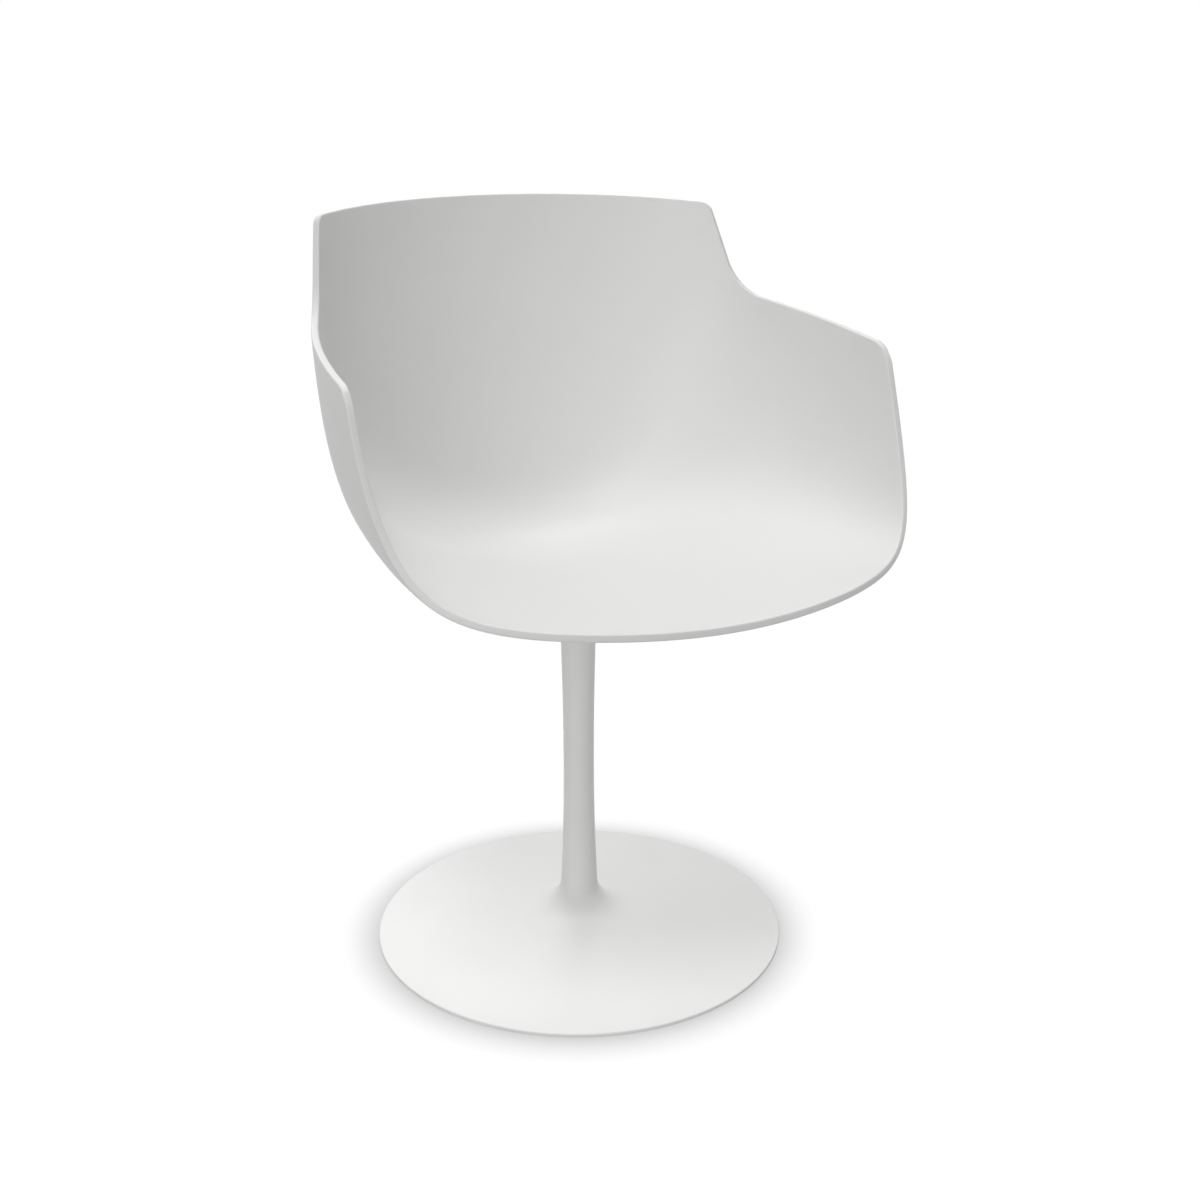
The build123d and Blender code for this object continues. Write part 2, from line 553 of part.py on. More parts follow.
# Ballast ring under the cone, and its countersunk screws
with BuildPart() as ballast_plate:
    with BuildSketch(Plane.XY.offset(BALLAST_BOTTOM)):
        Circle(ballast_radius)
        Circle(BALLAST_INNER, mode=Mode.SUBTRACT)
    extrude(amount=BALLAST_THICK)
    chamfer(ballast_plate.edges().filter_by(GeomType.CIRCLE), length=BALLAST_CHAMFER)
    with BuildSketch(Plane.XY.offset(BALLAST_BOTTOM)):
        with PolarLocations(ballast_screw_circle, BALLAST_SCREWS):
            Circle(BALLAST_SCREW_HEAD_RADIUS + SCREW_CLEARANCE)
    extrude(amount=BALLAST_SCREW_HEAD_LEDGE, taper=45, mode=Mode.SUBTRACT)
    with BuildSketch(Plane.XY.offset(BALLAST_BOTTOM)):
        with PolarLocations(ballast_screw_circle, BALLAST_SCREWS):
            Circle(BALLAST_SCREW_RADIUS + SCREW_CLEARANCE)
    extrude(amount=BALLAST_THICK, mode=Mode.SUBTRACT)
finish(ballast_plate, "ballast_plate")

with BuildPart() as ballast_screws:
    with BuildSketch(Plane.XY.offset(BALLAST_BOTTOM)):
        with PolarLocations(ballast_screw_circle, BALLAST_SCREWS):
            Circle(BALLAST_SCREW_HEAD_RADIUS)
    extrude(amount=BALLAST_SCREW_HEAD_LEDGE, taper=45)
    with BuildSketch(Plane.XY.offset(BALLAST_BOTTOM)):
        with PolarLocations(ballast_screw_circle, BALLAST_SCREWS):
            Circle(BALLAST_SCREW_RADIUS)
    extrude(amount=ballast_hole_top - BALLAST_HOLE_SPARE - BALLAST_BOTTOM)
    with BuildSketch(Plane.XY.offset(BALLAST_BOTTOM)):
        with PolarLocations(ballast_screw_circle, BALLAST_SCREWS):
            RegularPolygon(BALLAST_SOCKET_WIDTH / 2, 6, major_radius=False)
    extrude(amount=BALLAST_SOCKET_DEPTH, mode=Mode.SUBTRACT)
finish(ballast_screws, "ballast_screws")

# Floor pad: a round sheet that closes the base's underside, and that the chair stands on
with BuildPart() as floor_pad:
    with BuildSketch():
        Circle(POCKET_RADIUS - SLIP_CLEARANCE)
    extrude(amount=PAD_TOP)
    chamfer(floor_pad.edges().group_by(Axis.Z)[0], length=PAD_CHAMFER)
finish(floor_pad, "floor_pad")
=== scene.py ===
"""Looks of a pedestal armchair: a white moulded bucket seat that swivels on a slim coated stem.

Metres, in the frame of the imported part: +Z is up, the sitter faces -Y, and the stem's axis is at the origin.
"""

import logging
from dataclasses import dataclass, field
from enum import Enum
from functools import cached_property
from math import copysign, cos, pi, radians, sin, sqrt, tan
from typing import Any, Callable, Sequence

import bmesh
import bpy
from bmesh.types import BMEdge, BMesh, BMVert
from bpy.types import Material, Mesh, Node, NodeSocket, NodeTree, Object
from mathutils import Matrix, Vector


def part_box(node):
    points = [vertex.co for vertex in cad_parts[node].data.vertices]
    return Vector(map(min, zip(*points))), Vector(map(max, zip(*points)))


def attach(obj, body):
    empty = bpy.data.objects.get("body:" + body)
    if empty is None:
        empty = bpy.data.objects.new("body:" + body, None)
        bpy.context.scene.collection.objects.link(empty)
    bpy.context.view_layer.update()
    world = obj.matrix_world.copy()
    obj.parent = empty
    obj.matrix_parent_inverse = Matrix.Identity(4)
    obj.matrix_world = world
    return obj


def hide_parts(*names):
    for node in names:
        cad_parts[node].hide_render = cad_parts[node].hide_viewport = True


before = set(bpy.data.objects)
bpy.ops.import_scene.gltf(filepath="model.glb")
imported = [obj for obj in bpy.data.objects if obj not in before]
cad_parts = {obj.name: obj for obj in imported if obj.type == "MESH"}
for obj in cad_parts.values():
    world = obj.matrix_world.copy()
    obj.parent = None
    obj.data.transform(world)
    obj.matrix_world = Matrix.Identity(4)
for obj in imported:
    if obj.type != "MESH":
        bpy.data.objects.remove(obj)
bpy.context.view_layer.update()        # nodes of the imported part, flattened into place

MM = 0.001
WELD = 0.001 * MM                # vertices closer than this are one
CREASE = radians(32)             # edges sharper than this stay crisp in smooth shading
RIM_ANGLE = radians(50)          # edges sharper than this are the rims of a wall
TURN_STEPS = 128                 # facets round the large turned pieces
SMALL_TURN_STEPS = 48            # facets round screws, washers and holes
HEX_SIDES = 6

log = logging.getLogger("armchair")


class Body(Enum):
    """Bodies of the frame that a piece can ride on."""

    BASE = "base"
    SEAT = "seat"


class Slot(Enum):
    """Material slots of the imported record."""

    SHELL_POLYMER = "shell_polymer"
    WHITE_COATING = "white_coating"
    TURNED_STEEL = "turned_steel"
    ZINC_STEEL = "zinc_steel"
    SPRING_STEEL = "spring_steel"
    BRASS = "brass"
    BEARING_POLYMER = "bearing_polymer"
    BALLAST_IRON = "ballast_iron"
    PAD_POLYMER = "pad_polymer"


class Shaping(Enum):
    """How a tool shape changes a piece."""

    JOIN = "UNION"
    CUT = "DIFFERENCE"


# Materials


def linear(colour: str) -> tuple[float, float, float, float]:
    """Turn an sRGB colour to linear RGBA.

    Args:
        colour: A hash and six hex digits.

    Returns:
        Red, green, blue and full opacity.
    """
    parts = [int(colour[at:at + 2], 16) / 255 for at in (1, 3, 5)]
    red, green, blue = [p / 12.92 if p <= 0.04045 else ((p + 0.055) / 1.055) ** 2.4 for p in parts]
    return red, green, blue, 1.0


def add_node(tree: NodeTree, kind: str, inputs: dict[str, Any], **settings: Any) -> Node:
    """Add a node to a tree, with its settings, values and links.

    Args:
        tree: The tree that takes the node.
        kind: Blender's name for the node's type.
        inputs: For each named or numbered input, a value, or an output to link from.
        settings: The node's own properties.

    Returns:
        The new node.
    """
    node = tree.nodes.new(kind)
    for name, value in settings.items():
        setattr(node, name, value)
    for name, value in inputs.items():
        socket = node.inputs[int(name)] if name.isdigit() else node.inputs[name]
        if isinstance(value, NodeSocket):
            tree.links.new(value, socket)
        else:
            socket.default_value = value
    return node


@dataclass(frozen=True)
class Finish:
    """A surface finish: its colour, its gloss and the fine relief that its making leaves."""

    name: str
    slot: Slot
    colour: str                  # sRGB, most of the surface
    shade: str                   # sRGB, the faint darker patches
    patch: float                 # width of those patches
    roughness: float
    gloss_swing: float           # how far the roughness varies either way
    relief: float                # width of one bump of the relief
    depth: float                 # height of the relief
    metallic: float = 0.0
    ior: float = 1.5

    def relief_height(self, tree: NodeTree, place: NodeSocket) -> NodeSocket:
        """Draw the relief: here an even, soft grain.

        Args:
            tree: The material's tree.
            place: Where on the piece, in metres.

        Returns:
            Height from 0 to 1.
        """
        grain = add_node(
            tree, "ShaderNodeTexNoise",
            {"Vector": place, "Scale": 1 / self.relief, "Detail": 2.0, "Roughness": 0.5},
        )
        return grain.outputs["Fac"]

    def material(self) -> Material:
        """Make the material, or return it if it is made already.

        Returns:
            The material, with colour patches, uneven gloss and relief.
        """
        made = bpy.data.materials.get(self.name)
        if made:
            return made
        made = bpy.data.materials.new(self.name)
        made.use_nodes = True
        tree = made.node_tree
        tree.nodes.clear()
        place = add_node(tree, "ShaderNodeTexCoord", {}).outputs["Object"]
        patches = add_node(
            tree, "ShaderNodeTexNoise", {"Vector": place, "Scale": 1 / self.patch, "Detail": 3.0}
        ).outputs["Fac"]
        tint = add_node(
            tree, "ShaderNodeMix", {"0": patches, "6": linear(self.colour), "7": linear(self.shade)},
            data_type="RGBA",
        )
        gloss = add_node(
            tree, "ShaderNodeMapRange",
            {
                "Value": patches,
                "To Min": self.roughness - self.gloss_swing,
                "To Max": self.roughness + self.gloss_swing,
            },
        )
        bump = add_node(
            tree, "ShaderNodeBump", {"Distance": self.depth, "Height": self.relief_height(tree, place)}
        )
        surface = add_node(
            tree, "ShaderNodeBsdfPrincipled",
            {
                "Base Color": tint.outputs[2],
                "Roughness": gloss.outputs["Result"],
                "Normal": bump.outputs["Normal"],
                "Metallic": self.metallic,
                "IOR": self.ior,
            },
        )
        add_node(tree, "ShaderNodeOutputMaterial", {"Surface": surface.outputs["BSDF"]})
        return made


@dataclass(frozen=True)
class OrangePeel(Finish):
    """A baked powder coating, which keeps a soft dimpled skin."""

    def relief_height(self, tree: NodeTree, place: NodeSocket) -> NodeSocket:
        """Draw rounded dimples that run into each other.

        Args:
            tree: The material's tree.
            place: Where on the piece, in metres.

        Returns:
            Height from 0 to 1.
        """
        dimples = add_node(
            tree, "ShaderNodeTexVoronoi", {"Vector": place, "Scale": 1 / self.relief, "Smoothness": 1.0},
            feature="SMOOTH_F1",
        )
        return dimples.outputs["Distance"]


@dataclass(frozen=True)
class ToolMarks(Finish):
    """A turned surface, with the fine rings that the tool's feed leaves."""

    def relief_height(self, tree: NodeTree, place: NodeSocket) -> NodeSocket:
        """Draw rings round the stem's axis, on faces and on round walls alike.

        Args:
            tree: The material's tree.
            place: Where on the piece, in metres.

        Returns:
            Height from 0 to 1.
        """
        flat = add_node(
            tree, "ShaderNodeVectorMath", {"0": place, "1": (1.0, 1.0, 0.0)}, operation="MULTIPLY"
        )
        radius = add_node(tree, "ShaderNodeVectorMath", {"0": flat.outputs["Vector"]}, operation="LENGTH")
        height = add_node(tree, "ShaderNodeSeparateXYZ", {"Vector": place})
        travel = add_node(
            tree, "ShaderNodeMath", {"0": radius.outputs["Value"], "1": height.outputs["Z"]}, operation="ADD"
        )
        turns = add_node(
            tree, "ShaderNodeMath",
            {"0": travel.outputs["Value"], "1": 2 * pi / self.relief}, operation="MULTIPLY",
        )
        rings = add_node(tree, "ShaderNodeMath", {"0": turns.outputs["Value"]}, operation="SINE")
        return rings.outputs["Value"]


# Polypropylene, injection moulded in a finely spark-eroded mould: white, satin, no visible grain from a
# step away. The real grain is about 0.1 mm, too fine for the render, so it is drawn 20 times as coarse.
MOULDED_POLYPROPYLENE = Finish(
    "white_moulded_polypropylene", Slot.SHELL_POLYMER, "#F0F0EF", "#EEEEED", 90 * MM, 0.46, 0.03,
    relief=2.0 * MM, depth=0.012 * MM, ior=1.49,
)
# Polyester powder coating, baked on steel: white, satin, with a soft orange peel of about 2.5 mm.
POWDER_COATING = OrangePeel(
    "white_polyester_powder_coating", Slot.WHITE_COATING, "#F7F7F6", "#F4F4F3", 60 * MM, 0.42, 0.04,
    relief=2.5 * MM, depth=0.02 * MM, ior=1.52,
)
# Free-cutting steel, turned: bright, with feed rings. They are 0.1 mm apart in truth and drawn at 0.5 mm.
TURNED_STEEL = ToolMarks(
    "turned_free_cutting_steel", Slot.TURNED_STEEL, "#C4C4C6", "#B4B5B8", 12 * MM, 0.27, 0.05,
    relief=0.5 * MM, depth=0.01 * MM, metallic=1.0,
)
# Zinc plating, clear passivated: pale grey with a cloudy gloss.
ZINC_PLATING = Finish(
    "clear_zinc_plating", Slot.ZINC_STEEL, "#C9CCD0", "#AEB2B8", 3 * MM, 0.34, 0.08,
    relief=0.6 * MM, depth=0.008 * MM, metallic=1.0,
)
# Spring steel, oil blackened after hardening: nearly black, half dull.
BLACKENED_SPRING_STEEL = Finish(
    "oil_blackened_spring_steel", Slot.SPRING_STEEL, "#2B2B2D", "#222224", 4 * MM, 0.42, 0.06,
    relief=0.5 * MM, depth=0.01 * MM, metallic=1.0,
)
# Free-cutting brass, turned: yellow and bright.
TURNED_BRASS = ToolMarks(
    "turned_brass", Slot.BRASS, "#D0A95C", "#B9924A", 5 * MM, 0.26, 0.05,
    relief=0.8 * MM, depth=0.04 * MM, metallic=1.0,
)
# Acetal, turned from natural bar: milky off-white, waxy, with fine feed rings.
TURNED_ACETAL = ToolMarks(
    "natural_turned_acetal", Slot.BEARING_POLYMER, "#E4E2DA", "#DBD9D0", 20 * MM, 0.34, 0.04,
    relief=0.6 * MM, depth=0.01 * MM, ior=1.48,
)
# Grey iron, sand cast and dipped in primer: dark, dull and pitted like coarse sand.
PRIMED_CAST_IRON = Finish(
    "primed_grey_cast_iron", Slot.BALLAST_IRON, "#3A3A3B", "#2F2F30", 15 * MM, 0.68, 0.08,
    relief=1.6 * MM, depth=0.25 * MM,
)
# Polyethylene foam sheet, rolled with a fine pebble so that it doesn't squeak on a floor: dark grey, dull.
PEBBLED_FOAM_SHEET = OrangePeel(
    "pebbled_polyethylene_sheet", Slot.PAD_POLYMER, "#48484A", "#414143", 40 * MM, 0.66, 0.06,
    relief=2.0 * MM, depth=0.15 * MM,
)


# Shapes


@dataclass(frozen=True)
class Extent:
    """Where a node of the frame lies."""

    low: Vector
    high: Vector

    @classmethod
    def of(cls, node: str) -> "Extent":
        """Read a node's lowest and highest corners from the frame."""
        return cls(*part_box(node))

    @property
    def bottom(self) -> float:
        """Height of its underside."""
        return self.low.z

    @property
    def top(self) -> float:
        """Height of its top."""
        return self.high.z

    @property
    def radius(self) -> float:
        """Half its width, for a round node on the stem's axis."""
        return (self.high.x - self.low.x) / 2


Outline = Sequence[tuple[float, float]]


def turned(outline: Outline, closed: bool = False, steps: int = TURN_STEPS) -> BMesh:
    """Spin an outline about the stem's axis.

    Args:
        outline: Places as (radius, height). It starts and ends on the axis, unless it is closed.
        closed: True for a ring, whose outline comes back to its first place.
        steps: Facets round the axis.

    Returns:
        The closed solid.
    """
    bm = bmesh.new()
    verts = [bm.verts.new((radius, 0.0, height)) for radius, height in outline]
    pairs = list(zip(verts, verts[1:]))
    if closed:
        pairs.append((verts[-1], verts[0]))
    edges = [bm.edges.new(pair) for pair in pairs]
    bmesh.ops.spin(
        bm, geom=verts + edges, axis=(0, 0, 1), cent=(0, 0, 0), angle=2 * pi, steps=steps, use_merge=True
    )
    bmesh.ops.remove_doubles(bm, verts=bm.verts, dist=WELD)
    bmesh.ops.recalc_face_normals(bm, faces=bm.faces)
    return bm


def round_edges(bm: BMesh, chosen: Callable[[BMEdge], bool], radius: float, segments: int = 3) -> None:
    """Round the sharp edges that a test picks.

    Args:
        bm: The solid.
        chosen: True for an edge to round, among those sharper than a rim.
        radius: Width of the round.
        segments: Facets across it.
    """
    sharp = [edge for edge in bm.edges if edge.is_manifold and edge.calc_face_angle() > RIM_ANGLE]
    bmesh.ops.bevel(
        bm, geom=[edge for edge in sharp if chosen(edge)], offset=radius, offset_type="OFFSET",
        segments=segments, profile=0.5, affect="EDGES", clamp_overlap=False, material=-1,
    )


def rod(place: Vector, radius: float, bottom: float, top: float, sides: int = SMALL_TURN_STEPS) -> BMesh:
    """Make an upright rod.

    Args:
        place: Its axis on the floor.
        radius: To its corners.
        bottom: Height of its lower end.
        top: Height of its upper end.
        sides: Facets round it.

    Returns:
        The closed solid.
    """
    bm = bmesh.new()
    bmesh.ops.create_cone(
        bm, cap_ends=True, segments=sides, radius1=radius, radius2=radius, depth=top - bottom
    )
    bmesh.ops.translate(bm, vec=place + Vector((0, 0, (bottom + top) / 2)), verts=bm.verts)
    return bm


def repeated(bm: BMesh, places: Sequence[Vector]) -> BMesh:
    """Stand copies of a shape at several places.

    Args:
        bm: The shape, on the stem's axis.
        places: Where the copies stand, from the axis.

    Returns:
        The same bmesh, with all of them.
    """
    first = bm.verts[:] + bm.edges[:] + bm.faces[:]
    for place in places[1:]:
        copy = bmesh.ops.duplicate(bm, geom=first)["geom"]
        bmesh.ops.translate(bm, vec=place, verts=[part for part in copy if isinstance(part, BMVert)])
    bmesh.ops.translate(bm, vec=places[0], verts=[part for part in first if isinstance(part, BMVert)])
    return bm


def as_mesh(name: str, bm: BMesh) -> Mesh:
    """Turn a bmesh into a smooth-shaded mesh.

    Args:
        name: Of the mesh.
        bm: The shape, which is freed.

    Returns:
        The mesh, with its sharp edges kept crisp.
    """
    for face in bm.faces:
        face.smooth = True
    mesh = bpy.data.meshes.new(name)
    bm.to_mesh(mesh)
    bm.free()
    mesh.set_sharp_from_angle(angle=CREASE)
    return mesh


def as_piece(name: str, bm: BMesh) -> Object:
    """Turn a bmesh into a piece of the scene.

    Args:
        name: Of the piece.
        bm: The shape, in its place, which is freed.

    Returns:
        The piece, at the origin.
    """
    piece = bpy.data.objects.new(name, as_mesh(name, bm))
    bpy.context.scene.collection.objects.link(piece)
    return piece


def reshape(piece: Object, tool: BMesh, shaping: Shaping) -> None:
    """Join a tool shape to a piece, or cut it out of the piece.

    Args:
        piece: The piece, whose mesh is replaced.
        tool: The closed shape, which is used up.
        shaping: Whether it is joined or cut.
    """
    tool_object = as_piece(f"{piece.name}_tool", tool)
    modifier = piece.modifiers.new("shaping", "BOOLEAN")
    modifier.operation = shaping.value
    modifier.object = tool_object
    modifier.solver = "EXACT"
    shaped = bpy.data.meshes.new_from_object(piece.evaluated_get(bpy.context.evaluated_depsgraph_get()))
    piece.modifiers.clear()
    shaped.name = piece.name
    piece.data = shaped
    tool_mesh = tool_object.data
    bpy.data.objects.remove(tool_object)
    bpy.data.meshes.remove(tool_mesh)
    shaped.set_sharp_from_angle(angle=CREASE)


def settle(piece: Object, body: Body, finish: Finish, *nodes: str) -> None:
    """Dress a new piece and say where it belongs.

    Args:
        piece: The piece.
        body: That carries it.
        finish: Of its surface.
        nodes: Of the frame, which it stands for.
    """
    piece.data.materials.clear()
    piece.data.materials.append(finish.material())
    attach(piece, body.value)
    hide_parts(*nodes)
    log.info("%s: %d faces, %s", piece.name, len(piece.data.polygons), finish.name)


def carry_over(finish: Finish, *nodes: str) -> None:
    """Dress nodes that the frame already shows in their right shape.

    Args:
        finish: Of their surface.
        nodes: Of the frame.
    """
    for node in nodes:
        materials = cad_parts[node].data.materials
        materials.clear()
        materials.append(finish.material())
        log.info("%s: carried over, %s", node, finish.name)


def curve(start: Vector, pull: Vector, end: Vector, share: float) -> Vector:
    """Place at a share of a curve that leaves its start, and meets its end, in line with its pull."""
    left = 1 - share
    return start * left**2 + pull * (2 * share * left) + end * share**2


def ease(share: float) -> float:
    """Smooth step from 0 to 1, flat at both ends."""
    held = min(max(share, 0.0), 1.0)
    return held * held * (3 - 2 * held)


@dataclass(frozen=True)
class BentLine:
    """Two straight runs joined by an arc, in a side view of Y and Z."""

    start: Vector
    corner: Vector
    end: Vector
    radius: float

    def at(self, share: float) -> Vector:
        """Find a place on the line.

        Args:
            share: How far along the line's length, from 0 to 1.

        Returns:
            The place, as Y and Z.
        """
        first = (self.corner - self.start).normalized()
        second = (self.end - self.corner).normalized()
        turn = first.angle(second)
        tangent = self.radius * tan(turn / 2)
        first_run = (self.corner - self.start).length - tangent
        second_run = (self.end - self.corner).length - tangent
        total = first_run + self.radius * turn + second_run
        distance = share * total
        if distance <= first_run:
            return self.start + first * distance
        if distance >= total - second_run:
            return self.end - second * (total - distance)
        swing = (distance - first_run) / self.radius
        aside = (second - first * first.dot(second)).normalized()
        bend_start = self.corner - first * tangent
        return bend_start + (first * sin(swing) + aside * (1 - cos(swing))) * self.radius


# Sub-assemblies


@dataclass
class SeatShell:
    """The one-piece moulded bucket, with seat, back and arms, and the bosses under the seat."""

    seat_height: float = 410 * MM
    seat_tilt: float = radians(5.2)
    reach_front: float = 302.9 * MM   # a hair short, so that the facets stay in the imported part's box
    reach_rear: float = 151.5 * MM
    bend_radius: float = 88 * MM
    back_height: float = 349.98 * MM  # for the same reason
    back_recline: float = radians(7.4)
    arm_reach: float = 131 * MM
    arm_height: float = 219.5 * MM
    notch_reach: float = 86 * MM
    notch_height: float = 251 * MM
    notch_radius: float = 58.5 * MM
    back_corner_forward: float = 77.5 * MM
    back_corner_drop: float = 10 * MM
    plan_half_width: float = 265.7 * MM
    plan_depth: float = 427.5 * MM
    plan_centre: float = 135 * MM
    lower_sweep: Vector = field(default_factory=lambda: Vector((0, -47)) * MM)
    upper_sweep: Vector = field(default_factory=lambda: Vector((-11, -132)) * MM)
    wrap_start: float = 0.28
    back_wrap: float = radians(55.4)
    wall: float = 7 * MM
    arm_corner_radius: float = 28 * MM
    back_corner_radius: float = 13 * MM
    rim_round: float = 1.5 * MM
    boss_radius: float = 9.05 * MM
    insert_hole_radius: float = 4.6 * MM
    insert_hole_depth: float = 11 * MM
    rim_facets: int = 4
    columns: int = 128
    rows: int = 96
    search_start: float = 0.4    # about where the plate is, as a share of the way along
    search_steps: int = 40

    @cached_property
    def middle(self) -> BentLine:
        """Draw the middle line of the sitter's side.

        Returns:
            The line from the front edge along the seat and up the back.
        """
        fall = tan(self.seat_tilt)
        front = Vector((-self.reach_front, self.seat_height + self.reach_front * fall))
        corner = Vector((self.reach_rear, self.seat_height - self.reach_rear * fall))
        top = self.seat_height + self.back_height
        return BentLine(front, corner, Vector((self.back_reach, top)), self.bend_radius)

    @property
    def back_reach(self) -> float:
        """How far behind the stem's axis the middle of the top edge is."""
        rise = self.back_height + self.reach_rear * tan(self.seat_tilt)
        return self.reach_rear + rise * tan(self.back_recline)

    @cached_property
    def edge(self) -> BentLine:
        """Draw the edge of the sitter's side.

        Returns:
            The line from the arm's front corner along the arm, round the notch and up to the back's corner.
        """
        arm = Vector((-self.arm_reach, self.seat_height + self.arm_height))
        notch = Vector((self.notch_reach, self.seat_height + self.notch_height))
        top = self.seat_height + self.back_height - self.back_corner_drop
        back_corner = Vector((self.back_reach - self.back_corner_forward, top))
        return BentLine(arm, notch, back_corner, self.notch_radius)

    def place(self, across: float, along: float) -> Vector:
        """Find a place on the sitter's side.

        Args:
            across: From -1 at one edge to 1 at the other.
            along: From 0 at the front edge to 1 at the top edge.

        Returns:
            The place.
        """
        foot = self.middle.at(along)
        edge = self.edge.at(along)
        half_width = self.plan_half_width * sqrt(1 - ((edge.x + self.plan_centre) / self.plan_depth) ** 2)
        opening = ease((along - self.wrap_start) / (1 - self.wrap_start))
        full_turn = pi / 2 - (pi / 2 - self.back_wrap) * opening
        pull = 1 - ease(along)
        lower = foot.lerp(edge, 1 / 3) + self.lower_sweep * pull
        upper = foot.lerp(edge, 2 / 3) + self.upper_sweep * pull
        turn = full_turn * across
        rise = (1 - cos(turn)) / (1 - cos(full_turn))
        left = 1 - rise
        side = foot * left**3 + lower * (3 * rise * left**2) + upper * (3 * rise**2 * left) + edge * rise**3
        return Vector((half_width * sin(turn) / sin(full_turn), side.x, side.y))

    def corner_zone(self, end: int, radius: float) -> tuple[float, float]:
        """Find how much of the two edges a rounded corner takes up.

        Args:
            end: 0 for the arms' corners, 1 for the back's.
            radius: Of the round.

        Returns:
            Its share of the half width, and of the way along.
        """
        step = 0.001
        corner = self.place(1.0, end)
        crosswise = (self.place(1 - step, end) - corner) / step
        lengthwise = (self.place(1.0, end + step * (1 - 2 * end)) - corner) / step
        tangent = radius / tan(crosswise.angle(lengthwise) / 2)
        return tangent / crosswise.length, tangent / lengthwise.length

    def draw_in(self, across: float, along: float) -> tuple[float, float]:
        """Draw a place near a corner in, so that the square corner becomes round.

        Args:
            across: From -1 to 1.
            along: From 0 to 1.

        Returns:
            The place across and along, moved only near a corner.
        """
        end = round(along)
        zone_across, zone_along = self.corner_zones[end]
        far = abs(along - end)
        wide = max(0.0, (abs(across) - 1 + zone_across) / zone_across)
        deep = max(0.0, (zone_along - far) / zone_along)
        if not wide or not deep:
            return across, along
        drawn_across = 1 - zone_across * (1 - wide * sqrt(1 - deep**2 / 2))
        drawn_far = zone_along * (1 - deep * sqrt(1 - wide**2 / 2))
        return copysign(drawn_across, across), abs(end - drawn_far)

    @cached_property
    def corner_zones(self) -> tuple[tuple[float, float], tuple[float, float]]:
        """Zones of the arms' corners and of the back's."""
        return self.corner_zone(0, self.arm_corner_radius), self.corner_zone(1, self.back_corner_radius)

    def shell(self) -> BMesh:
        """Shape the sheet from a grid, give it its wall and round its rim.

        Returns:
            The closed shell, without bosses.
        """
        bm = bmesh.new()
        bmesh.ops.create_grid(bm, x_segments=self.columns, y_segments=self.rows, size=1.0)
        for vert in bm.verts:
            vert.co = self.place(*self.draw_in(vert.co.x, (vert.co.y + 1) / 2))
        bm.normal_update()
        bmesh.ops.solidify(bm, geom=bm.faces[:], thickness=self.wall)
        bmesh.ops.recalc_face_normals(bm, faces=bm.faces)
        round_edges(bm, lambda edge: True, self.rim_round, self.rim_facets)
        return bm

    def build(self, boss_places: Sequence[Vector]) -> None:
        """Build and dress the moulding.

        Args:
            boss_places: Where the four bosses stand, on the floor.
        """
        piece = as_piece("bucket_moulding", self.shell())
        foot = Extent.of("seat_plate").top
        for place in boss_places:
            under = self.height_above(place) - self.wall / 2
            reshape(piece, rod(place, self.boss_radius, foot, under), Shaping.JOIN)
        for place in boss_places:
            hole_top = foot + self.insert_hole_depth
            reshape(piece, rod(place, self.insert_hole_radius, foot - self.wall, hole_top), Shaping.CUT)
        settle(piece, Body.SEAT, MOULDED_POLYPROPYLENE, "seat_shell")

    def height_above(self, place: Vector) -> float:
        """Find the height of the sitter's side above a place on the floor.

        Args:
            place: Its X and Y.

        Returns:
            The height, found by small steps across and along towards the place.
        """
        across, along = 0.0, self.search_start
        for _ in range(self.search_steps):
            there = self.place(across, along)
            across += (place.x - there.x) / (2 * self.plan_half_width)
            along += (place.y - there.y) / (4 * self.reach_front)
        return self.place(across, along).z


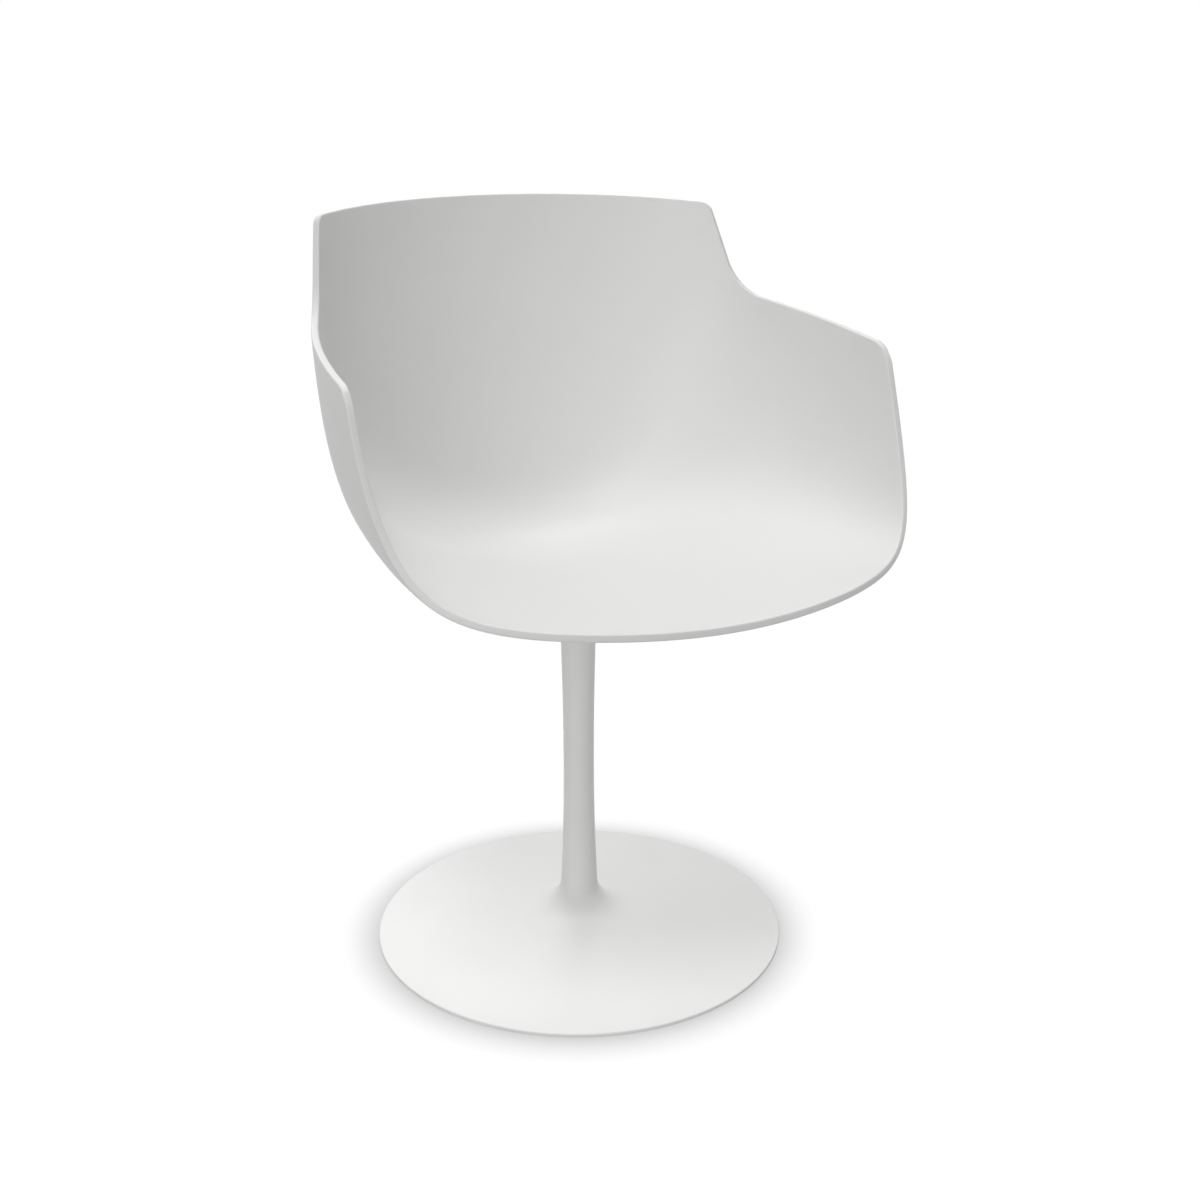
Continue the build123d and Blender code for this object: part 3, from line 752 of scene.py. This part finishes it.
@dataclass
class Fastening:
    """The plate under the seat, and the screws, washers and inserts that hold the shell to it."""

    boss_spacing: float = 124 * MM
    plate_corner_radius: float = 18 * MM
    plate_edge: float = 0.8 * MM
    screw_radius: float = 3 * MM
    hole_clearance: float = 0.3 * MM
    spindle_hole_radius: float = 10.05 * MM
    head_radius: float = 5.2 * MM
    head_height: float = 3.4 * MM
    head_round: float = 1.7 * MM
    socket_width: float = 4 * MM
    socket_depth: float = 2 * MM
    edge_round: float = 0.2 * MM
    corner_facets: int = 12
    head_facets: int = 6
    washer_facets: int = 2

    @property
    def boss_places(self) -> list[Vector]:
        """Where the four screws stand, on the floor."""
        half = self.boss_spacing / 2
        return [Vector((x, y, 0)) for x in (-half, half) for y in (-half, half)]

    def build_plate(self) -> None:
        """Build and dress the mounting plate."""
        extent = Extent.of("seat_plate")
        bm = bmesh.new()
        bmesh.ops.create_cube(bm, size=1.0)
        bmesh.ops.scale(bm, vec=extent.high - extent.low, verts=bm.verts)
        bmesh.ops.translate(bm, vec=(extent.low + extent.high) / 2, verts=bm.verts)
        round_edges(bm, self.is_upright, self.plate_corner_radius, self.corner_facets)
        round_edges(bm, lambda edge: True, self.plate_edge)
        piece = as_piece("mounting_plate", bm)
        below, above = extent.bottom - self.socket_depth, extent.top + self.socket_depth
        for place in self.boss_places:
            hole = rod(place, self.screw_radius + self.hole_clearance, below, above)
            reshape(piece, hole, Shaping.CUT)
        reshape(piece, rod(Vector(), self.spindle_hole_radius, below, above), Shaping.CUT)
        settle(piece, Body.SEAT, POWDER_COATING, "seat_plate")

    @staticmethod
    def is_upright(edge: BMEdge) -> bool:
        """True for an edge that runs up and down."""
        return abs(edge.verts[0].co.z - edge.verts[1].co.z) > WELD

    def build_screws(self) -> None:
        """Build and dress the four button-head screws, with their hexagon sockets."""
        extent = Extent.of("shell_screws")
        head_top = extent.bottom + self.head_height
        outline = [
            (0, extent.bottom),
            (self.head_radius, extent.bottom),
            (self.head_radius, head_top),
            (self.screw_radius, head_top),
            (self.screw_radius, extent.top),
            (0, extent.top),
        ]
        bm = turned(outline, steps=SMALL_TURN_STEPS)
        crown = extent.bottom + WELD
        round_edges(
            bm, lambda edge: max(v.co.z for v in edge.verts) < crown, self.head_round, self.head_facets
        )
        one = as_piece("one_button_screw", bm)
        corner_radius = self.socket_width / 2 / cos(pi / HEX_SIDES)
        socket_bottom = extent.bottom - self.socket_depth
        socket = rod(Vector(), corner_radius, socket_bottom, extent.bottom + self.socket_depth, HEX_SIDES)
        reshape(one, socket, Shaping.CUT)
        bm = bmesh.new()
        bm.from_mesh(one.data)
        bmesh.ops.remove_doubles(bm, verts=bm.verts, dist=WELD)
        bpy.data.objects.remove(one)
        piece = as_piece("button_screws", repeated(bm, self.boss_places))
        settle(piece, Body.SEAT, ZINC_PLATING, "shell_screws")

    def build_washers(self) -> None:
        """Build and dress the four washers under the screw heads."""
        extent = Extent.of("shell_washers")
        hole = self.screw_radius + self.hole_clearance
        rim = extent.high.x - self.boss_spacing / 2
        outline = [(hole, extent.bottom), (rim, extent.bottom), (rim, extent.top), (hole, extent.top)]
        bm = turned(outline, closed=True, steps=SMALL_TURN_STEPS)
        round_edges(bm, lambda edge: True, self.edge_round, self.washer_facets)
        piece = as_piece("plate_washers", repeated(bm, self.boss_places))
        settle(piece, Body.SEAT, ZINC_PLATING, "shell_washers")

    def build(self) -> None:
        """Build and dress the whole fastening."""
        self.build_plate()
        self.build_screws()
        self.build_washers()
        carry_over(TURNED_BRASS, "shell_inserts")


@dataclass
class Swivel:
    """The spindle under the plate, and the washers and bushes that it turns in."""

    spindle_radius: float = 10 * MM
    spindle_chamfer: float = 1.2 * MM
    flange_chamfer: float = 1 * MM
    flange_thick: float = 8 * MM
    groove_depth: float = 1 * MM
    bore_radius: float = 10.05 * MM
    bush_flange_thick: float = 2.5 * MM
    bush_radius: float = 13 * MM
    edge_round: float = 0.3 * MM

    def build_spindle(self) -> None:
        """Build and dress the flanged spindle."""
        extent = Extent.of("spindle")
        ring = Extent.of("retaining_ring")
        flange_top = Extent.of("seat_plate").bottom
        flange_bottom = flange_top - self.flange_thick
        neck = self.spindle_radius - self.groove_depth
        outline = [
            (0, extent.top),
            (self.spindle_radius, extent.top),
            (self.spindle_radius, flange_top),
            (extent.radius, flange_top),
            (extent.radius, flange_bottom + self.flange_chamfer),
            (extent.radius - self.flange_chamfer, flange_bottom),
            (self.spindle_radius, flange_bottom),
            (self.spindle_radius, ring.top),
            (neck, ring.top),
            (neck, ring.bottom),
            (self.spindle_radius, ring.bottom),
            (self.spindle_radius, extent.bottom + self.spindle_chamfer),
            (self.spindle_radius - self.spindle_chamfer, extent.bottom),
            (0, extent.bottom),
        ]
        piece = as_piece("flanged_spindle", turned(outline))
        settle(piece, Body.SEAT, TURNED_STEEL, "spindle")

    def build_ring(self, name: str, node: str, body: Body, finish: Finish) -> None:
        """Build and dress a plain ring round the spindle.

        Args:
            name: Of the piece.
            node: Of the frame, which it stands for.
            body: That carries it.
            finish: Of its surface.
        """
        extent = Extent.of(node)
        outline = [
            (self.bore_radius, extent.bottom),
            (extent.radius, extent.bottom),
            (extent.radius, extent.top),
            (self.bore_radius, extent.top),
        ]
        bm = turned(outline, closed=True)
        round_edges(bm, lambda edge: True, self.edge_round)
        settle(as_piece(name, bm), body, finish, node)

    def build_upper_bush(self) -> None:
        """Build and dress the flanged bush in the stem's top."""
        extent = Extent.of("upper_bush")
        flange_bottom = extent.top - self.bush_flange_thick
        outline = [
            (self.bore_radius, extent.bottom),
            (self.bush_radius, extent.bottom),
            (self.bush_radius, flange_bottom),
            (extent.radius, flange_bottom),
            (extent.radius, extent.top),
            (self.bore_radius, extent.top),
        ]
        bm = turned(outline, closed=True)
        round_edges(bm, lambda edge: edge.verts[0].co.xy.length > self.bush_radius + WELD, self.edge_round)
        settle(as_piece("flanged_bush", bm), Body.BASE, TURNED_ACETAL, "upper_bush")

    def build(self) -> None:
        """Build and dress the whole swivel."""
        self.build_spindle()
        self.build_ring("thrust_ring", "thrust_washer", Body.SEAT, TURNED_ACETAL)
        self.build_upper_bush()
        self.build_ring("plain_bush", "lower_bush", Body.BASE, TURNED_ACETAL)
        self.build_ring("stop_washer", "retaining_washer", Body.SEAT, ZINC_PLATING)
        carry_over(BLACKENED_SPRING_STEEL, "retaining_ring")


@dataclass
class Pedestal:
    """The waisted stem, and the base that it flares into."""

    bore_radius: float = 13.05 * MM
    bore_shoulder: float = 1 * MM
    foot_radius: float = 19.4 * MM
    waist_radius: float = 15.9 * MM
    top_radius: float = 19.3 * MM
    waist_height: float = 194 * MM
    stem_edge_round: float = 0.8 * MM
    cone_rise: float = 27.6 * MM
    rim_height: float = 4 * MM
    base_wall: float = 4.5 * MM
    base_edge_round: float = 1.2 * MM
    flare_height: float = 23.4 * MM
    flare_reach: float = 40 * MM
    hub_foot_radius: float = 30 * MM
    pocket_step: float = 1.7 * MM
    spigot_radius: float = 13 * MM
    bolt_bore_radius: float = 6.3 * MM
    counterbore_radius: float = 13 * MM
    pad_chamfer: float = 0.5 * MM
    rim_facets: int = 4
    curve_steps: int = 24

    def smooth_run(self, start: Vector, pull: Vector, end: Vector) -> list[tuple[float, float]]:
        """Step along a curve of an outline, without its last place.

        Args:
            start: First place, as radius and height.
            pull: Where the lines along both ends meet.
            end: Last place.

        Returns:
            Places as (radius, height).
        """
        shares = [step / self.curve_steps for step in range(self.curve_steps)]
        return [tuple(curve(start, pull, end, share)) for share in shares]

    def build_stem(self) -> None:
        """Build and dress the stem: a waisted tube with a shoulder in its bore."""
        extent = Extent.of("stem")
        upper_seat = Extent.of("upper_bush").bottom
        lower_seat = Extent.of("lower_bush").top
        shoulder = self.bore_radius - self.bore_shoulder
        foot = Vector((self.foot_radius, extent.bottom))
        waist = Vector((self.waist_radius, self.waist_height))
        top = Vector((self.top_radius, extent.top))
        below = Vector((self.waist_radius, (extent.bottom + self.waist_height) / 2))
        above = Vector((self.waist_radius, (extent.top + self.waist_height) / 2))
        outline = [
            *self.smooth_run(foot, below, waist),
            *self.smooth_run(waist, above, top),
            tuple(top),
            (self.bore_radius, extent.top),
            (self.bore_radius, upper_seat),
            (shoulder, upper_seat),
            (shoulder, lower_seat),
            (self.bore_radius, lower_seat),
            (self.bore_radius, extent.bottom),
        ]
        bm = turned(outline, closed=True)
        top_rim = self.top_radius - WELD
        round_edges(bm, lambda edge: self.is_rim(edge, top_rim, extent.top), self.stem_edge_round)
        settle(as_piece("waisted_stem", bm), Body.BASE, POWDER_COATING, "stem")

    @staticmethod
    def is_rim(edge: BMEdge, radius: float, height: float) -> bool:
        """True for an edge at least that far out and that high."""
        return all(vert.co.xy.length >= radius and vert.co.z >= height - WELD for vert in edge.verts)

    def build_base(self) -> None:
        """Build and dress the base: a shallow hollow cone, with a flared hub and a spigot."""
        extent = Extent.of("base_disc")
        pad = Extent.of("floor_pad")
        hub_top = Extent.of("stem").bottom
        bolt_seat = Extent.of("base_washer").top
        rim_top = extent.bottom + self.rim_height
        slope = self.cone_rise / (extent.radius - self.foot_radius)
        drop = self.base_wall * sqrt(1 + slope**2)

        def cone(radius: float) -> float:
            """Height of the cone's top side at a distance from the axis."""
            return rim_top + (extent.radius - radius) * slope

        stem_slope = 2 * (self.foot_radius - self.waist_radius) / (self.waist_height - hub_top)
        pull_radius = self.foot_radius + stem_slope * self.flare_height / (1 - stem_slope * slope)
        flare_end = self.foot_radius + self.flare_reach
        seat_inner = extent.radius - (pad.top + self.pocket_step - rim_top + drop) / slope
        outline = [
            *self.smooth_run(
                Vector((self.foot_radius, hub_top)),
                Vector((pull_radius, cone(pull_radius))),
                Vector((flare_end, cone(flare_end))),
            ),
            (flare_end, cone(flare_end)),
            (extent.radius, rim_top),
            (extent.radius, extent.bottom),
            (pad.radius, extent.bottom),
            (pad.radius, pad.top),
            (seat_inner, pad.top),
            (seat_inner, pad.top + self.pocket_step),
            (self.hub_foot_radius, cone(self.hub_foot_radius) - drop),
            (self.hub_foot_radius, pad.top),
            (self.counterbore_radius, pad.top),
            (self.counterbore_radius, bolt_seat),
            (self.bolt_bore_radius, bolt_seat),
            (self.bolt_bore_radius, extent.top),
            (self.spigot_radius, extent.top),
            (self.spigot_radius, hub_top),
        ]
        bm = turned(outline, closed=True, steps=2 * TURN_STEPS)
        outer = extent.radius - WELD
        round_edges(
            bm, lambda edge: self.is_rim(edge, outer, extent.bottom), self.base_edge_round, self.rim_facets
        )
        settle(as_piece("cone_base", bm), Body.BASE, POWDER_COATING, "base_disc")

    def build_pad(self) -> None:
        """Build and dress the round sheet that the base stands on."""
        extent = Extent.of("floor_pad")
        outline = [
            (0, extent.bottom),
            (extent.radius - self.pad_chamfer, extent.bottom),
            (extent.radius, extent.bottom + self.pad_chamfer),
            (extent.radius, extent.top),
            (0, extent.top),
        ]
        settle(as_piece("pad_sheet", turned(outline)), Body.BASE, PEBBLED_FOAM_SHEET, "floor_pad")

    def build(self) -> None:
        """Build and dress the whole pedestal."""
        self.build_stem()
        self.build_base()
        self.build_pad()
        carry_over(TURNED_STEEL, "stem_plug", "locating_pin")
        carry_over(ZINC_PLATING, "base_bolt", "base_washer", "ballast_screws")
        carry_over(PRIMED_CAST_IRON, "ballast_plate")


@dataclass(frozen=True)
class SoftSun:
    """A broad soft light, so far away that it lights the whole object alike."""

    name: str
    azimuth: float               # degrees from the front, towards the sitter's left
    elevation: float             # degrees
    strength: float              # share of the light that shows a white surface white
    spread: float                # radians across
    casts_shadow: bool = True

    def hang(self) -> None:
        """Add the light to the scene."""
        around, up = radians(self.azimuth), radians(self.elevation)
        towards = Vector((sin(around) * cos(up), -cos(around) * cos(up), sin(up)))
        lamp = bpy.data.lights.new(self.name, "SUN")
        lamp.energy = pi * self.strength
        lamp.angle = self.spread
        lamp.use_shadow = self.casts_shadow
        light = bpy.data.objects.new(self.name, lamp)
        light.rotation_euler = towards.to_track_quat("Z", "Y").to_euler()
        bpy.context.scene.collection.objects.link(light)


@dataclass
class Studio:
    """The pale floor, the soft light and the camera."""

    floor_side: float = 60.0
    floor_colour: str = "#BCBCBC"
    shadow_colour: str = "#626262"    # the part of the floor's white that a shadow takes away
    floor_glow: float = 0.92     # share of white that the floor shows without the lights
    shade: float = 0.35          # how much of that white a painted ring of shade takes away beside the base
    # width of the painted ring of shade
    painted_shade_reach: float = 54 * MM
    painted_shade_power: float = 1.9     # the painted shade falls off faster near the base
    fill: float = 0.21           # even light from all round
    eye: Vector = field(default_factory=lambda: Vector((-636.1, -1353.9, 859.0)) * MM)
    yaw: float = radians(26.02)
    pitch: float = radians(18.06)
    lens: float = 46.5           # millimetres, on a sensor 36 mm wide
    sensor: float = 36.0
    suns: tuple[SoftSun, ...] = (
        SoftSun("key", 322, 64.5, 0.215, 0.3),
        SoftSun("back", 172, 40, 0.165, 0.8),
        SoftSun("side", 310, 15, 0.2, 0.8),
        SoftSun("top_fill", 150, 65, 0.318, 0.5, casts_shadow=False),
        SoftSun("front_fill", 345, 15, 0.04, 0.5, casts_shadow=False),
    )

    def seen(self, tree: NodeTree) -> NodeSocket:
        """Tell the rays that show the background from those that light the object.

        Args:
            tree: The floor's or the world's tree.

        Returns:
            1 for camera, glossy and transmission rays, and 0 for the rest.
        """
        path = add_node(tree, "ShaderNodeLightPath", {})
        mirrored = add_node(
            tree, "ShaderNodeMath",
            {"0": path.outputs["Is Glossy Ray"], "1": path.outputs["Is Transmission Ray"]},
            operation="MAXIMUM",
        )
        return add_node(
            tree, "ShaderNodeMath",
            {"0": path.outputs["Is Camera Ray"], "1": mirrored.outputs["Value"]}, operation="MAXIMUM",
        ).outputs["Value"]

    def glow_with_painted_shade(self, tree: NodeTree) -> NodeSocket:
        """Paint a soft ring of shade on the floor round the base, darker the nearer the base's edge.

        Args:
            tree: The floor's tree.

        Returns:
            Share of white that the floor shows without the lights, less the painted ring of shade.
        """
        place = add_node(tree, "ShaderNodeTexCoord", {}).outputs["Object"]
        distance = add_node(tree, "ShaderNodeVectorMath", {"0": place}, operation="LENGTH")
        base_radius = Extent.of("base_disc").radius
        near = add_node(
            tree, "ShaderNodeMapRange",
            {
                "Value": distance.outputs["Value"],
                "From Min": base_radius,
                "From Max": base_radius + self.painted_shade_reach,
                "To Min": 1.0,
                "To Max": 0.0,
            },
        )
        soft = add_node(
            tree, "ShaderNodeMath", {"0": near.outputs["Result"], "1": self.painted_shade_power}, operation="POWER"
        )
        glow = add_node(
            tree, "ShaderNodeMath", {"0": soft.outputs["Value"], "1": -self.shade, "2": self.floor_glow},
            operation="MULTIPLY_ADD",
        )
        return glow.outputs["Value"]

    def build_floor(self) -> None:
        """Lay the floor, which shows white in the open, keeps a faint share of the real shadow, and has a ring
        of shade painted round the base.
        """
        bm = bmesh.new()
        bmesh.ops.create_grid(bm, x_segments=1, y_segments=1, size=self.floor_side / 2)
        floor = as_piece("studio_floor", bm)
        material = bpy.data.materials.new("pale_studio_floor")
        material.use_nodes = True
        tree = material.node_tree
        tree.nodes.clear()
        plain = add_node(tree, "ShaderNodeBsdfDiffuse", {"Color": linear(self.floor_colour)})
        faint = add_node(tree, "ShaderNodeBsdfDiffuse", {"Color": linear(self.shadow_colour)})
        # painted shade: the emission that the camera sees dims in a ring round the base, by distance from the
        # axis, whatever the lamps do
        shine = add_node(tree, "ShaderNodeEmission", {"Strength": self.glow_with_painted_shade(tree)})
        bright = add_node(
            tree, "ShaderNodeAddShader", {"0": faint.outputs["BSDF"], "1": shine.outputs["Emission"]}
        )
        shown = add_node(
            tree, "ShaderNodeMixShader",
            {"0": self.seen(tree), "1": plain.outputs["BSDF"], "2": bright.outputs["Shader"]},
        )
        add_node(tree, "ShaderNodeOutputMaterial", {"Surface": shown.outputs["Shader"]})
        floor.data.materials.append(material)

    def build_world(self) -> None:
        """Surround the object with a little even light, and with white where it shows."""
        world = bpy.data.worlds.new("studio")
        world.use_nodes = True
        tree = world.node_tree
        tree.nodes.clear()
        white = (1.0, 1.0, 1.0, 1.0)
        soft = add_node(tree, "ShaderNodeBackground", {"Color": white, "Strength": self.fill})
        shine = add_node(tree, "ShaderNodeBackground", {"Color": white, "Strength": 1.0})
        shown = add_node(
            tree, "ShaderNodeMixShader",
            {"0": self.seen(tree), "1": soft.outputs["Background"], "2": shine.outputs["Background"]},
        )
        add_node(tree, "ShaderNodeOutputWorld", {"Surface": shown.outputs["Shader"]})
        bpy.context.scene.world = world

    def build_camera(self) -> None:
        """Stand the camera where the photograph was taken from."""
        lens = bpy.data.cameras.new("camera")
        lens.sensor_width = self.sensor
        lens.lens = self.lens
        camera = bpy.data.objects.new("camera", lens)
        camera.location = self.eye
        camera.rotation_euler = (pi / 2 - self.pitch, 0, -self.yaw)
        bpy.context.scene.collection.objects.link(camera)
        bpy.context.scene.camera = camera

    def build(self) -> None:
        """Build the whole studio."""
        self.build_floor()
        self.build_world()
        for sun in self.suns:
            sun.hang()
        self.build_camera()
        bpy.context.scene.view_settings.view_transform = "Standard"


def main() -> None:
    """Build the armchair in order, then its studio."""
    logging.basicConfig(level=logging.INFO, format="%(message)s")
    fastening = Fastening()
    SeatShell().build(fastening.boss_places)
    fastening.build()
    Swivel().build()
    Pedestal().build()
    Studio().build()


if __name__ == "__main__":
    main()
